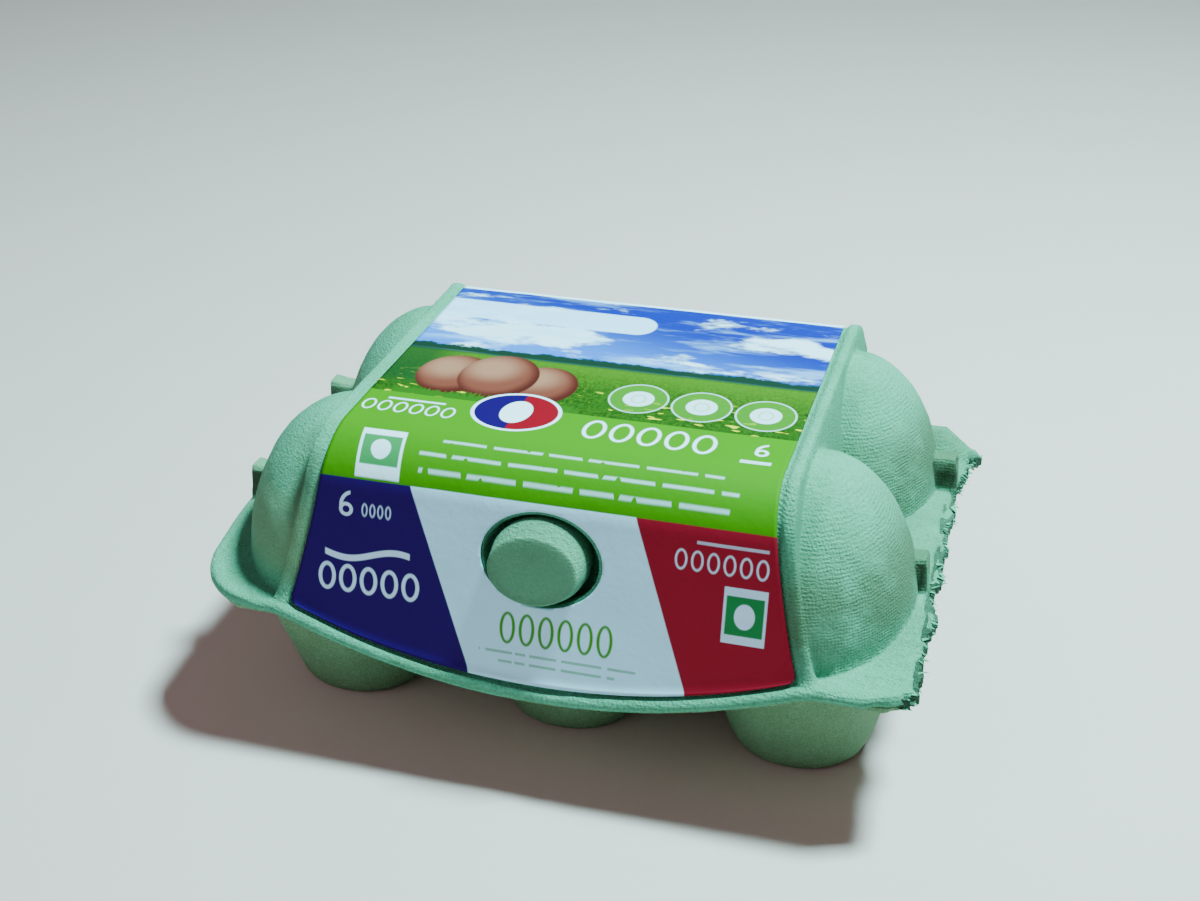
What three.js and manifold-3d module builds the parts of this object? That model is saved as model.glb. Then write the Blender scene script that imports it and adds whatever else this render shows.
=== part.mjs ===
// A shut moulded pulp carton for six eggs, with a printed paper label over its top and front.
// Millimetres, +Z up. The long side with the lock faces -Y, the torn end is at +X.
// The origin is on the surface that the feet stand on, below the middle of the whole.
// Places along X are first counted from the middle of the label, then moved by CENTRE_X.

import * as THREE from 'three';
import { mergeVertices } from 'three/addons/utils/BufferGeometryUtils.js';
import Module from 'manifold-3d';

// Overall places
const CENTRE_X = 1.13;
const LEFT_EDGE = -72.4;
const SIDE_Y = 51.5;
const BULGE = 2.0;
const BOW_START_Y = 37.5;
const CORNER = [17.5, 15];
const CUP_PITCH_X = 47;
const CUP_PITCH_Y = 44.8;

// Torn end: places y and x along the tear, and the depth, spacing and seed of its teeth
const TEAR = [
  [-51.5, 62.5], [-50, 66], [-48.2, 69.7], [-46.6, 71.5], [-36, 71.1], [-31, 71.7], [-26, 72.1],
  [-21, 70.3], [-14, 71.3], [-5, 70.9], [3.5, 70.7], [11, 71.5], [19, 70.6], [26, 71.1], [33, 72.1],
  [41, 71.9], [44.5, 74.7], [47.5, 71.8], [50, 69.6], [51.5, 67.2],
];
const TEETH = [[0.3, 4.1, 0], [0.25, 1.7, 40]];
const LID_SEED = 7;
const TRAY_SEED = 23;

// Flange and the joint between lid and tray: it dips at the front and rises at the ends
const FLANGE_TOP = 31.5;
const FLANGE_DIP = 9.5;
const DIP_HALF_WIDTH = 52;
const DIP_START_Y = -36;
const DIP_END_Y = -44;
const END_RISE = 4.2;
const RISE_X = [48, 60];
const RISE_Y = [20, 50];
const LID_THICKNESS = 1.9;
const TRAY_THICKNESS = 1.6;
const GAP = 0.3;
const LIP_ROUND = 1.6;
const LIP_EDGE = 0.7;
const TRAY_INSET = 1.8;
const TORN_TRAY_INSET = 0.7;

// Saddle, the raised band between the domes that carries the label
const TOP_Z = 64;
const BEND_Y = -31;
const BEND_RADIUS = 12.6;
const FRONT_STEEPNESS = THREE.MathUtils.degToRad(74.5);
const BACK_BEND_Y = 33.5;
const BACK_RADIUS = 8;
const BACK_STEEPNESS = THREE.MathUtils.degToRad(75);
const LABEL_HALF_WIDTH = 43.3;
const FLARE = 0.11;
const FLARE_CURVE = 0.003;
const RIM_WIDTH = 2.9;
const RIM_RISE = 0.15;
const RIM_SHOULDER = 0.6;
const RIM_INNER_SLOPE = 9;
const RIM_BLEND = 1.4;
const PANEL_DEPTH = 0.8;
const PANEL_STEP = [0.2, 1.3];

// Egg domes at the two ends of the lid
const DOME_X = 48;
const DOME_Y = 22.4;
const DOME_BASE = 31;
const DOME_REACH_X = [20, 18.9];
const REACH_CHANGE_Y = [-10, 10];
const DOME_REACH_Y = 26;
const DOME_RISE = 31;
const DOME_POWER = 1.92;
const DOME_SKIRT = 60;
const DOME_FADE = 4;
const DOME_BLEND = 0.9;
const FLANGE_BLEND = [1, 2.2];

// Short ribs that stand on the end flanges, against the domes
const RIB_FRONTS = [-21.3, 19.6];
const RIB_WIDTH = 5.5;
const RIB_TOP = 43;
const RIB_WAVE = [0.4, 0.35, 62];
const RIB_SLOPES = [10, 8];
const RIB_ENDS = [71.6, 72.4];
const TORN_RIB_ENDS = [69.2, 70.6];
const RIB_DRAFT = 0.06;
const RIB_BLEND = 0.8;

// Fold that slopes from the back dome at the torn end down to the torn scrap
const FOLD_START = [66, 41, 38.8];
const FOLD_FALL = [0.8, 0.12];

// Cups of the tray
const FOOT_RADIUS = 10.5;
const FOOT_WALL_RADIUS = 14;
const FOOT_SLOPE = 4.6;
const FOOT_POWER = 2.2;
const CREASE_HEIGHT = 8.5;
const CREASE_BLEND = 0.6;
const WALL_SLOPE = 3;
const WEB_HEIGHT = 10;
const WEB_HALF = 3;
const WEB_SLOPE = 2.4;
const WEB_END_SLOPE = 4;
const WEB_BLEND = 9;
const TRAY_RIM_BLEND = 2.5;

// Label
const LABEL_THICKNESS = 0.5;
const LABEL_BACK_Y = 34.6;
const LABEL_FOOT_END_Z = 31.9;
const LABEL_FOOT_MID_Z = 24;
const LABEL_MARGIN = 0.2;

// Lock: the oval hole in the front wall and the nub that shows in it
const LOCK_X = 0.7;
const LOCK_Z = 46.6;
const HOLE_HALF = [11.9, 9.2];
const POCKET_INSET = 0.2;
const POCKET_DEPTH = 6;
const NUB_HALF = [9.4, 8.2];
const NUB_SHIFT = [-0.6, -0.5];
const NUB_PROUD = 1.6;
const NUB_CROWN = [[0.4, 0.25], [1, 0.8]];
const NUB_SHOULDER = 3.2;

// Flat planes that close the solids made from height fields, clear of what is kept
const LID_FLOOR = 4;
const TRAY_CEILING = 50;
const JOINT_FLOOR = -10;
const JOINT_CEILING = 80;

const wasm = await Module();
wasm.setup();

const { clamp, lerp } = THREE.MathUtils;

function smoothMin(a, b, k) {
  const h = clamp(0.5 + 0.5 * (b - a) / k, 0, 1);
  return lerp(b, a, h) - k * h * (1 - h);
}

function smoothMax(a, b, k) {
  return -smoothMin(-a, -b, k);
}

function ease(from, to, value) {
  const t = clamp((value - from) / (to - from), 0, 1);
  return t * t * (3 - 2 * t);
}

// A repeatable value from 0 to 1 for each whole number
function chance(n) {
  const s = Math.sin(n * 127.1 + 311.7) * 43758.5453;
  return s - Math.floor(s);
}

// Uneven line through chance values one step apart, from -1 to 1
function ragged(t, step, seed) {
  const n = Math.floor(t / step);
  return 2 * lerp(chance(n + seed), chance(n + 1 + seed), t / step - n) - 1;
}

// How far the front lip hangs below the flange, 1 in the middle and 0 at the corners
function sag(x) {
  return smoothMax(0, 1 - (x / DIP_HALF_WIDTH) ** 2, 0.12);
}

// How far the flange is raised between the corners of an end, from 0 to 1
function lift(x, y) {
  return ease(...RISE_X, Math.abs(x)) * (1 - ease(...RISE_Y, Math.abs(y)));
}

function flangeTop(x, y) {
  const dip = FLANGE_DIP * sag(x) * ease(DIP_START_Y, DIP_END_Y, y);
  return FLANGE_TOP - dip + END_RISE * lift(x, y);
}

function jointHeight(x, y) {
  return flangeTop(x, y) - LID_THICKNESS;
}

// Front and back edges bow out a little in the middle
function edgeY(x, side) {
  return side * (SIDE_Y + BULGE * clamp(1 - (x / DIP_HALF_WIDTH) ** 2, 0, 1));
}

// How far a rounded corner turns in at y, for its size along X and Y
function cornerInset(y, [sizeX, sizeY]) {
  const past = clamp((Math.abs(y) - SIDE_Y + sizeY) / sizeY, 0, 1);
  return sizeX * (1 - Math.sqrt(1 - past * past));
}

function leftX(y) {
  return LEFT_EDGE + cornerInset(y, CORNER);
}

// The right end was torn off a twin carton: uneven, necked in the middle, a scrap at the back
function rightX(y, seed) {
  const after = clamp(TEAR.findIndex((place) => place[0] >= y), 1, TEAR.length - 1);
  const [from, to] = [TEAR[after - 1], TEAR[after]];
  let x = lerp(from[1], to[1], clamp((y - from[0]) / (to[0] - from[0]), 0, 1));
  for (const [depth, spacing, shift] of TEETH) x += depth * ragged(y, spacing, seed + shift);
  return x;
}

// Height of the band's profile over y; out is how far it stands off the label's face
function profileZ(y, out) {
  const front = BEND_RADIUS + out;
  const back = BACK_RADIUS + out;
  if (y < BEND_Y) {
    const run = BEND_Y - y;
    const end = front * Math.sin(FRONT_STEEPNESS);
    const centre = TOP_Z - BEND_RADIUS;
    if (run < end) return centre + Math.sqrt(front * front - run * run);
    return centre + front * Math.cos(FRONT_STEEPNESS) - (run - end) * Math.tan(FRONT_STEEPNESS);
  }
  if (y > BACK_BEND_Y) {
    const run = y - BACK_BEND_Y;
    const end = back * Math.sin(BACK_STEEPNESS);
    const centre = TOP_Z - BACK_RADIUS;
    if (run < end) return centre + Math.sqrt(back * back - run * run);
    return centre + back * Math.cos(BACK_STEEPNESS) - (run - end) * Math.tan(BACK_STEEPNESS);
  }
  return TOP_Z + out;
}

// Half the label's width at a height: it widens down the front
function labelHalf(z) {
  const drop = Math.max(0, TOP_Z - z);
  return LABEL_HALF_WIDTH + FLARE * drop + FLARE_CURVE * drop * drop;
}

// Height of the band's side wall at a distance from the middle
function sideZ(across) {
  const past = Math.max(0, across - RIM_WIDTH - LABEL_HALF_WIDTH);
  const root = Math.sqrt(FLARE * FLARE + 4 * FLARE_CURVE * past);
  const flared = TOP_Z + RIM_SHOULDER - (root - FLARE) / (2 * FLARE_CURVE);
  return flared + RIM_INNER_SLOPE * Math.max(0, RIM_WIDTH + LABEL_HALF_WIDTH - across);
}

function saddleZ(x, y) {
  const across = Math.abs(x);
  const half = labelHalf(profileZ(y, 0));
  const rim = ease(half + PANEL_STEP[0], half + PANEL_STEP[1], across);
  const out = lerp(-PANEL_DEPTH, RIM_RISE, rim);
  return smoothMin(profileZ(y, out), sideZ(across), RIM_BLEND);
}

// Half the length of the rounded end of a dome; the back domes are a little shorter
function domeReach(y) {
  return lerp(...DOME_REACH_X, ease(...REACH_CHANGE_Y, y));
}

function domeZ(x, y) {
  const dx = Math.max(0, Math.abs(x) - DOME_X) / domeReach(y);
  const dy = Math.abs(Math.abs(y) - DOME_Y) / DOME_REACH_Y;
  const reach = dx ** DOME_POWER + dy ** DOME_POWER;
  const underLabel = Math.max(0, labelHalf(profileZ(y, 0)) + PANEL_STEP[1] - Math.abs(x));
  const skirt = -DOME_SKIRT * (Math.sqrt(reach) - 1);
  const wall = reach < 1 ? DOME_RISE * Math.sqrt(1 - reach) : skirt;
  return DOME_BASE + wall - DOME_FADE * underLabel;
}

function ribZ(x, y) {
  if (Math.abs(x) < DOME_X) return 0;
  const [height, turns, start] = RIB_WAVE;
  const top = RIB_TOP - height * Math.sin((Math.abs(x) - start) * turns);
  const heights = RIB_FRONTS.map((front, n) => {
    const foot = x < 0 ? RIB_ENDS[n] : TORN_RIB_ENDS[n];
    const end = (foot - Math.abs(x)) / RIB_DRAFT;
    const frontFace = (y - front) * RIB_SLOPES[0];
    const backFace = (front + RIB_WIDTH - y) * RIB_SLOPES[1];
    return Math.min(top, FLANGE_TOP + END_RISE + Math.min(frontFace, backFace, end));
  });
  return Math.max(0, ...heights);
}

function foldZ(x, y) {
  const [startX, middleY, startZ] = FOLD_START;
  if (x < DOME_X) return 0;
  return startZ - FOLD_FALL[0] * Math.max(0, x - startX) - FOLD_FALL[1] * (y - middleY) ** 2;
}

// The lid's outer face; edge is the distance in from the outline, for the rounded lip
function lidZ(x, y, edge) {
  const flange = flangeTop(x, y);
  const round = clamp(1 - edge / LIP_ROUND, 0, 1);
  const lip = flange - (LID_THICKNESS - LIP_EDGE) * (1 - Math.sqrt(1 - round * round));
  let z = smoothMax(saddleZ(x, y), domeZ(x, y), DOME_BLEND);
  z = smoothMax(z, Math.max(ribZ(x, y), foldZ(x, y)), RIB_BLEND);
  const onBand = Math.abs(x) < labelHalf(z) + RIM_WIDTH;
  return smoothMax(z, lip, FLANGE_BLEND[onBand ? 0 : 1]);
}

// Underside of one cup: flat foot, rounded edge, steep foot wall, then a crease and the upper wall
function cupZ(x, y) {
  const r = (Math.abs(x) ** FOOT_POWER + Math.abs(y) ** FOOT_POWER) ** (1 / FOOT_POWER);
  if (r < FOOT_RADIUS) return 0;
  const foot = (r - FOOT_WALL_RADIUS) * FOOT_SLOPE;
  const crease = FOOT_WALL_RADIUS + CREASE_HEIGHT / FOOT_SLOPE;
  const wall = CREASE_HEIGHT + (r - crease) * WALL_SLOPE;
  return smoothMax(0, smoothMin(foot, wall, CREASE_BLEND), 2 * FOOT_SLOPE);
}

// Underside of the low walls that join neighbouring cups
function webZ(x, y) {
  const alongX = Math.abs(Math.abs(y) - CUP_PITCH_Y / 2);
  const nearest = Math.abs(x) > CUP_PITCH_X / 2 ? CUP_PITCH_X : 0;
  const alongY = Math.abs(Math.abs(x) - nearest);
  const past = Math.max(0, Math.abs(x) - CUP_PITCH_X, Math.abs(y) - CUP_PITCH_Y / 2);
  const side = Math.max(0, Math.min(alongX, alongY) - WEB_HALF);
  return WEB_HEIGHT + WEB_SLOPE * side + WEB_END_SLOPE * past;
}

// The tray's outer face, seen from below
function trayZ(x, y) {
  let cups = webZ(x, y);
  for (const cx of [-CUP_PITCH_X, 0, CUP_PITCH_X]) {
    for (const cy of [-CUP_PITCH_Y / 2, CUP_PITCH_Y / 2]) {
      cups = smoothMin(cups, cupZ(x - cx, y - cy), WEB_BLEND);
    }
  }
  return Math.max(0, smoothMin(jointHeight(x, y) - TRAY_THICKNESS, cups, TRAY_RIM_BLEND));
}

// Closed solid between a grid of points and a flat plane; up is true where the grid is the top
function reliefSolid(rows, flatZ, up) {
  const high = rows.length;
  const wide = rows[0].length;
  const points = rows.flat();
  const at = (j, i) => j * wide + i;
  const faces = [];
  for (let j = 0; j + 1 < high; j++) {
    for (let i = 0; i + 1 < wide; i++) {
      const [a, b, c, d] = [at(j, i), at(j, i + 1), at(j + 1, i + 1), at(j + 1, i)];
      const even = Math.abs(points[a][2] - points[c][2]) < Math.abs(points[b][2] - points[d][2]);
      faces.push(...(even ? [[a, b, c], [a, c, d]] : [[a, b, d], [b, c, d]]));
    }
  }
  const ring = [];
  for (let i = 0; i + 1 < wide; i++) ring.push(at(0, i));
  for (let j = 0; j + 1 < high; j++) ring.push(at(j, wide - 1));
  for (let i = wide - 1; i > 0; i--) ring.push(at(high - 1, i));
  for (let j = high - 1; j > 0; j--) ring.push(at(j, 0));
  const first = points.length;
  const contour = ring.map((k) => new THREE.Vector2(points[k][0], points[k][1]));
  ring.forEach((k) => points.push([points[k][0], points[k][1], flatZ]));
  ring.forEach((k, n) => {
    const m = (n + 1) % ring.length;
    faces.push([k, first + n, first + m], [k, first + m, ring[m]]);
  });
  for (const [a, b, c] of THREE.ShapeUtils.triangulateShape(contour, [])) {
    faces.push([first + a, first + c, first + b]);
  }
  const flat = up ? faces : faces.map(([a, b, c]) => [a, c, b]);
  return geometryOf(points, flat);
}

function geometryOf(points, faces) {
  const geometry = new THREE.BufferGeometry();
  geometry.setAttribute('position', new THREE.Float32BufferAttribute(points.flat(), 3));
  geometry.setIndex(faces.flat());
  return geometry;
}

function toSolid(geometry) {
  const bare = geometry.clone();
  for (const name of ['normal', 'uv']) {
    if (bare.hasAttribute(name)) bare.deleteAttribute(name);
  }
  const merged = mergeVertices(bare, 1e-4);
  return new wasm.Manifold(new wasm.Mesh({
    numProp: 3,
    vertProperties: Float32Array.from(merged.attributes.position.array),
    triVerts: Uint32Array.from(merged.index.array),
  }));
}

function toGeometry(solid) {
  const mesh = solid.getMesh();
  const geometry = new THREE.BufferGeometry();
  geometry.setAttribute('position', new THREE.BufferAttribute(mesh.vertProperties, 3));
  geometry.setIndex(new THREE.BufferAttribute(mesh.triVerts, 1));
  return geometry;
}

function cutBy(geometry, ...cutters) {
  const cut = (solid, cutter) => solid.subtract(toSolid(cutter));
  return toGeometry(cutters.reduce(cut, toSolid(geometry)));
}

// Whole numbers of even steps from one value to another
function steps(from, to, size) {
  const count = Math.max(1, Math.round(Math.abs(to - from) / size));
  return Array.from({ length: count + 1 }, (_, n) => lerp(from, to, n / count));
}

// Lines over a stretch: even steps and the marks, none of them closer than this
function lines(from, to, size, marks, closest = 0.34) {
  const all = [...steps(from, to, size), ...marks].sort((a, b) => a - b);
  const apart = (n) => n === 0 || n === all.length - 1 || all[n] - all[n - 1] > closest;
  return all.filter((v, n) => v >= from && v <= to && apart(n));
}

// How far from the middle the foot of a dome lies at y
function domeFoot(y) {
  const dy = Math.abs(Math.abs(y) - DOME_Y) / DOME_REACH_Y;
  return DOME_X + domeReach(y) * Math.max(0, 1 - dy ** DOME_POWER) ** (1 / DOME_POWER);
}

// Columns of one row of the lid: the band, its rims, the domes and the end flanges
function lidColumns(y) {
  const straight = labelHalf(profileZ(y, 0));
  const half = labelHalf(Math.max(FLANGE_TOP, profileZ(bowedY(straight, y), 0)));
  const rims = [PANEL_STEP[0], 0.75, PANEL_STEP[1], 2.2, 2.8, 3.4];
  const outer = half + rims[rims.length - 1];
  const foot = Math.max(domeFoot(y), outer + 1.2);
  const overDome = steps(0, Math.PI / 2, Math.PI / 18).slice(1).map(Math.sin);
  const overFlange = [0.15, 0.35, 0.6, 0.8, 1];
  const end = (edge) => [
    ...overDome.map((t) => lerp(outer, foot, t)),
    ...overFlange.map((t) => lerp(foot, edge, t)),
  ];
  return [
    ...end(-leftX(y)).map((x) => -x).reverse(),
    ...rims.map((r) => -half - r).reverse(),
    ...steps(-half, half, half / 5).slice(1, -1),
    ...rims.map((r) => half + r),
    ...end(rightX(y, LID_SEED)),
  ];
}

// Moves the rows near the front and back so that the last one lies on the bowed edge
function bowedY(x, y) {
  const side = Math.sign(y);
  const share = ease(BOW_START_Y, SIDE_Y, Math.abs(y));
  return y + share * (edgeY(x, side) - side * SIDE_Y);
}

function lidShape() {
  const marks = [-51.2, -50.5, -49.6, -48.5, 44.5, 47.5, 49, 50.8];
  for (const front of RIB_FRONTS) {
    const back = front + RIB_WIDTH;
    marks.push(front - 0.1, front + 0.9, back - 1.1, back + 0.1);
  }
  const ys = lines(-SIDE_Y, SIDE_Y, 2.7, marks);
  const rows = ys.map((y) => {
    const xs = lidColumns(y);
    return xs.map((x) => {
      const yy = bowedY(x, y);
      const edge = Math.min(SIDE_Y - Math.abs(y), x - xs[0], xs[xs.length - 1] - x);
      return [x, yy, lidZ(x, yy, edge)];
    });
  });
  const below = reliefSolid(jointRows(0), JOINT_FLOOR, true);
  return cutBy(reliefSolid(rows, LID_FLOOR, true), below, pocketCutter());
}

function trayShape() {
  const ys = lines(-SIDE_Y + TRAY_INSET, SIDE_Y - TRAY_INSET, 2.9, []);
  const rows = ys.map((y) => {
    const left = leftX(y) + TRAY_INSET;
    const right = rightX(y, TRAY_SEED) - TORN_TRAY_INSET;
    return steps(left, right, (right - left) / 51).map((x) => {
      const yy = bowedY(x, y);
      return [x, yy, trayZ(x, yy)];
    });
  });
  const above = reliefSolid(jointRows(-GAP), JOINT_CEILING, false);
  return cutBy(reliefSolid(rows, TRAY_CEILING, false), above);
}

// The surface where lid and tray meet, wider than both
function jointRows(shift) {
  const rising = steps(...RISE_Y, 6);
  const ys = [-70, ...steps(DIP_START_Y, DIP_END_Y, 2), ...rising, ...rising.map((y) => -y), 70];
  const ends = steps(...RISE_X, 4);
  const xs = [-90, ...ends.map((x) => -x), ...steps(-40, 40, 8), ...ends, 90];
  const inOrder = (values) => [...new Set(values)].sort((a, b) => a - b);
  return inOrder(ys).map((y) => inOrder(xs).map((x) => [x, y, jointHeight(x, y) + shift]));
}

// A point on the label's face: back edge over the top, round the bend and down the front
function labelPoint(x, s, out) {
  const top = LABEL_BACK_Y - BEND_Y;
  const turn = BEND_RADIUS * FRONT_STEEPNESS;
  if (s < top) return [x, LABEL_BACK_Y - s, TOP_Z + out];
  const angle = Math.min(FRONT_STEEPNESS, (s - top) / BEND_RADIUS);
  const down = Math.max(0, s - top - turn);
  const radius = BEND_RADIUS + out;
  return [
    x,
    BEND_Y - radius * Math.sin(angle) - down * Math.cos(FRONT_STEEPNESS),
    TOP_Z - BEND_RADIUS + radius * Math.cos(angle) - down * Math.sin(FRONT_STEEPNESS),
  ];
}

// Length along the label to a height on the front wall
function lengthTo(z) {
  const bendFoot = TOP_Z - BEND_RADIUS * (1 - Math.cos(FRONT_STEEPNESS));
  const bent = LABEL_BACK_Y - BEND_Y + BEND_RADIUS * FRONT_STEEPNESS;
  return bent + (bendFoot - z) / Math.sin(FRONT_STEEPNESS);
}

function labelShape() {
  const top = LABEL_BACK_Y - BEND_Y;
  const bent = top + BEND_RADIUS * FRONT_STEEPNESS;
  const fractions = steps(-1, 1, 1 / 6);
  const longest = lengthTo(LABEL_FOOT_MID_Z);
  const onBend = steps(top, bent, 2).slice(1);
  const onFront = steps(bent, longest, 5).slice(1);
  const stations = [...steps(0, top, 22), ...onBend, ...onFront];
  const face = (out) => stations.map((s) => fractions.map((f) => {
    const foot = lengthTo(lerp(LABEL_FOOT_MID_Z, LABEL_FOOT_END_Z, f * f));
    const reach = s <= bent ? s : lerp(bent, foot, (s - bent) / (longest - bent));
    const z = labelPoint(0, reach, 0)[2];
    return labelPoint(f * (labelHalf(z) - LABEL_MARGIN), reach, out);
  }));
  const hole = ovalPrism(HOLE_HALF, -5, 5);
  return cutBy(sheetSolid(face(0), face(-LABEL_THICKNESS)), hole);
}

// Closed solid between two grids of the same size
function sheetSolid(outer, inner) {
  const high = outer.length;
  const wide = outer[0].length;
  const points = [...outer.flat(), ...inner.flat()];
  const faces = [];
  const at = (j, i) => j * wide + i;
  const back = high * wide;
  for (let j = 0; j + 1 < high; j++) {
    for (let i = 0; i + 1 < wide; i++) {
      const [a, b, c, d] = [at(j, i), at(j, i + 1), at(j + 1, i + 1), at(j + 1, i)];
      faces.push([a, c, b], [a, d, c]);
      faces.push([back + a, back + b, back + c], [back + a, back + c, back + d]);
    }
  }
  const ring = [];
  for (let i = 0; i + 1 < wide; i++) ring.push(at(0, i));
  for (let j = 0; j + 1 < high; j++) ring.push(at(j, wide - 1));
  for (let i = wide - 1; i > 0; i--) ring.push(at(high - 1, i));
  for (let j = high - 1; j > 0; j--) ring.push(at(j, 0));
  ring.forEach((k, n) => {
    const m = ring[(n + 1) % ring.length];
    faces.push([k, m, back + m], [k, back + m, back + k]);
  });
  return geometryOf(points, faces);
}

// Turns and moves a piece made flat in XY so that it lies on the front wall at the lock
function ontoFrontWall(geometry) {
  geometry.rotateX(FRONT_STEEPNESS);
  geometry.translate(...labelPoint(LOCK_X, lengthTo(LOCK_Z), 0));
  return geometry;
}

// An upright oval column on the front wall between two distances off the label's face
function ovalPrism(half, from, to) {
  const shape = new THREE.Shape();
  shape.absellipse(0, 0, ...half, 0, Math.PI * 2, false, 0);
  const settings = { depth: to - from, bevelEnabled: false, curveSegments: 18 };
  const geometry = new THREE.ExtrudeGeometry(shape, settings);
  geometry.translate(0, 0, from);
  return ontoFrontWall(geometry);
}

function pocketCutter() {
  return ovalPrism(HOLE_HALF.map((half) => half - POCKET_INSET), -POCKET_DEPTH, 8);
}

// Nub: a straight oval stem with a rounded shoulder and a slightly crowned face
function nubShape() {
  const rings = 5;
  const sides = 32;
  const base = -POCKET_DEPTH + GAP;
  const [middle, shoulderTop] = NUB_CROWN;
  const levels = [[1, base]];
  for (let n = 0; n <= rings; n++) {
    const turn = (n / rings) * Math.PI / 2;
    const inward = NUB_SHOULDER / NUB_HALF[0] * (1 - Math.cos(turn));
    const down = shoulderTop[1] + NUB_SHOULDER * (1 - Math.sin(turn));
    levels.push([shoulderTop[0] - inward, NUB_PROUD - down]);
  }
  levels.push([middle[0], NUB_PROUD - middle[1]]);
  const points = [[...NUB_SHIFT, base]];
  for (const [scale, z] of levels) {
    for (let k = 0; k < sides; k++) {
      const turn = (k / sides) * Math.PI * 2;
      const x = NUB_SHIFT[0] + NUB_HALF[0] * scale * Math.cos(turn);
      const y = NUB_SHIFT[1] + NUB_HALF[1] * scale * Math.sin(turn);
      points.push([x, y, z]);
    }
  }
  points.push([...NUB_SHIFT, NUB_PROUD]);
  const last = points.length - 1;
  const faces = [];
  for (let k = 0; k < sides; k++) {
    const m = (k + 1) % sides;
    faces.push([0, 1 + m, 1 + k]);
    for (let n = 0; n + 1 < levels.length; n++) {
      const [a, b] = [1 + n * sides + k, 1 + n * sides + m];
      faces.push([a, b, b + sides], [a, b + sides, a + sides]);
    }
    faces.push([last, last - sides + k, last - sides + m]);
  }
  return ontoFrontWall(geometryOf(points, faces));
}

function pulp(colour) {
  return new THREE.MeshStandardMaterial({ color: colour, roughness: 0.95, metalness: 0 });
}

function paper() {
  return new THREE.MeshStandardMaterial({ color: 0x7cb63a, roughness: 0.5, metalness: 0 });
}

function named(name, geometry, material) {
  geometry.translate(-CENTRE_X, 0, 0);
  geometry.computeVertexNormals();
  const mesh = new THREE.Mesh(geometry, material);
  mesh.name = name;
  return mesh;
}

const group = new THREE.Group();
group.add(named('lid', lidShape(), pulp(0x7fc4a2)));
group.add(named('tray', trayShape(), pulp(0x79b594)));
group.add(named('lock_nub', nubShape(), pulp(0x83c096)));
group.add(named('label', labelShape(), paper()));

export default group;
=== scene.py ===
import math

import bpy
import numpy as np
from mathutils import Matrix, Vector


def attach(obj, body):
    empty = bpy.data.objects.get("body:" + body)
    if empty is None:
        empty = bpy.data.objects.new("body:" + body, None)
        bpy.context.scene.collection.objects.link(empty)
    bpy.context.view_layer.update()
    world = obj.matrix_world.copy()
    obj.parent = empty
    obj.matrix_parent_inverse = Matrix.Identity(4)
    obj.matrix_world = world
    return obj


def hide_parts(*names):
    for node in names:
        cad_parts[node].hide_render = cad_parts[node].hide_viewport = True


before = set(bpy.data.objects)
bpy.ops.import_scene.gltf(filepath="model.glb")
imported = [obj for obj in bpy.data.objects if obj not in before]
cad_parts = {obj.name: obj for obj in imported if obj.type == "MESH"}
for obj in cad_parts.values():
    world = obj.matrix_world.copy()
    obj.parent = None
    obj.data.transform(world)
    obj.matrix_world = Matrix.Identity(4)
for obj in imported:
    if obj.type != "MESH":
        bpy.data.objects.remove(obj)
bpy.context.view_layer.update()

MM = 0.001

# Overall places, in millimetres, as in the solids. Places along X are counted from the middle
# of the label; new_mesh, the paints and the camera move them by CENTRE_X.
CENTRE_X = 1.13
LEFT_EDGE = -72.4
SIDE_Y = 51.5
BULGE = 2.0
BOW_START_Y = 37.5
CORNER = (17.5, 15)
CUP_PITCH_X = 47
CUP_PITCH_Y = 44.8

# Torn end: places y and x along the tear, and the depth, spacing and seed of its teeth
TEAR = (
    (-51.5, 62.5), (-50, 66), (-48.2, 69.7), (-46.6, 71.5), (-36, 71.1), (-31, 71.7), (-26, 72.1),
    (-21, 70.3), (-14, 71.3), (-5, 70.9), (3.5, 70.7), (11, 71.5), (19, 70.6), (26, 71.1), (33, 72.1),
    (41, 71.9), (44.5, 74.7), (47.5, 71.8), (50, 69.6), (51.5, 67.2),
)
TEETH = ((0.3, 4.1, 0), (0.25, 1.7, 40))
LID_SEED = 7
TRAY_SEED = 23

# Flange and the joint between lid and tray
FLANGE_TOP = 31.5
FLANGE_DIP = 9.5
DIP_HALF_WIDTH = 52
DIP_START_Y = -36
DIP_END_Y = -44
END_RISE = 4.2
RISE_X = (48, 60)
RISE_Y = (20, 50)
LID_THICKNESS = 1.9
TRAY_THICKNESS = 1.6
GAP = 0.3
LIP_ROUND = 1.6
LIP_EDGE = 0.7
TRAY_INSET = 1.8
TORN_TRAY_INSET = 0.7

# Saddle, the raised band between the domes that carries the label
TOP_Z = 64
BEND_Y = -31
BEND_RADIUS = 12.6
FRONT_STEEPNESS = math.radians(74.5)
BACK_BEND_Y = 33.5
BACK_RADIUS = 8
BACK_STEEPNESS = math.radians(75)
LABEL_HALF_WIDTH = 43.3
FLARE = 0.11
FLARE_CURVE = 0.003
RIM_WIDTH = 2.9
RIM_RISE = 0.15
PANEL_DEPTH = 0.8

# Egg domes
DOME_X = 48
DOME_Y = 22.4
DOME_BASE = 31
DOME_REACH_X = (20, 18.9)
REACH_CHANGE_Y = (-10, 10)
DOME_REACH_Y = 26
DOME_RISE = 31
DOME_POWER = 1.92

# Short ribs on the end flanges
RIB_FRONTS = (-21.3, 19.6)
RIB_WIDTH = 5.5
RIB_TOP = 43
RIB_WAVE = (0.4, 0.35, 62)
RIB_SLOPES = (10, 8)
RIB_ENDS = (71.6, 72.4)
TORN_RIB_ENDS = (69.2, 70.6)
RIB_DRAFT = 0.06

# Fold that slopes from the back dome at the torn end down to the torn scrap
FOLD_START = (66, 41, 38.8)
FOLD_FALL = (0.8, 0.12)

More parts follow.
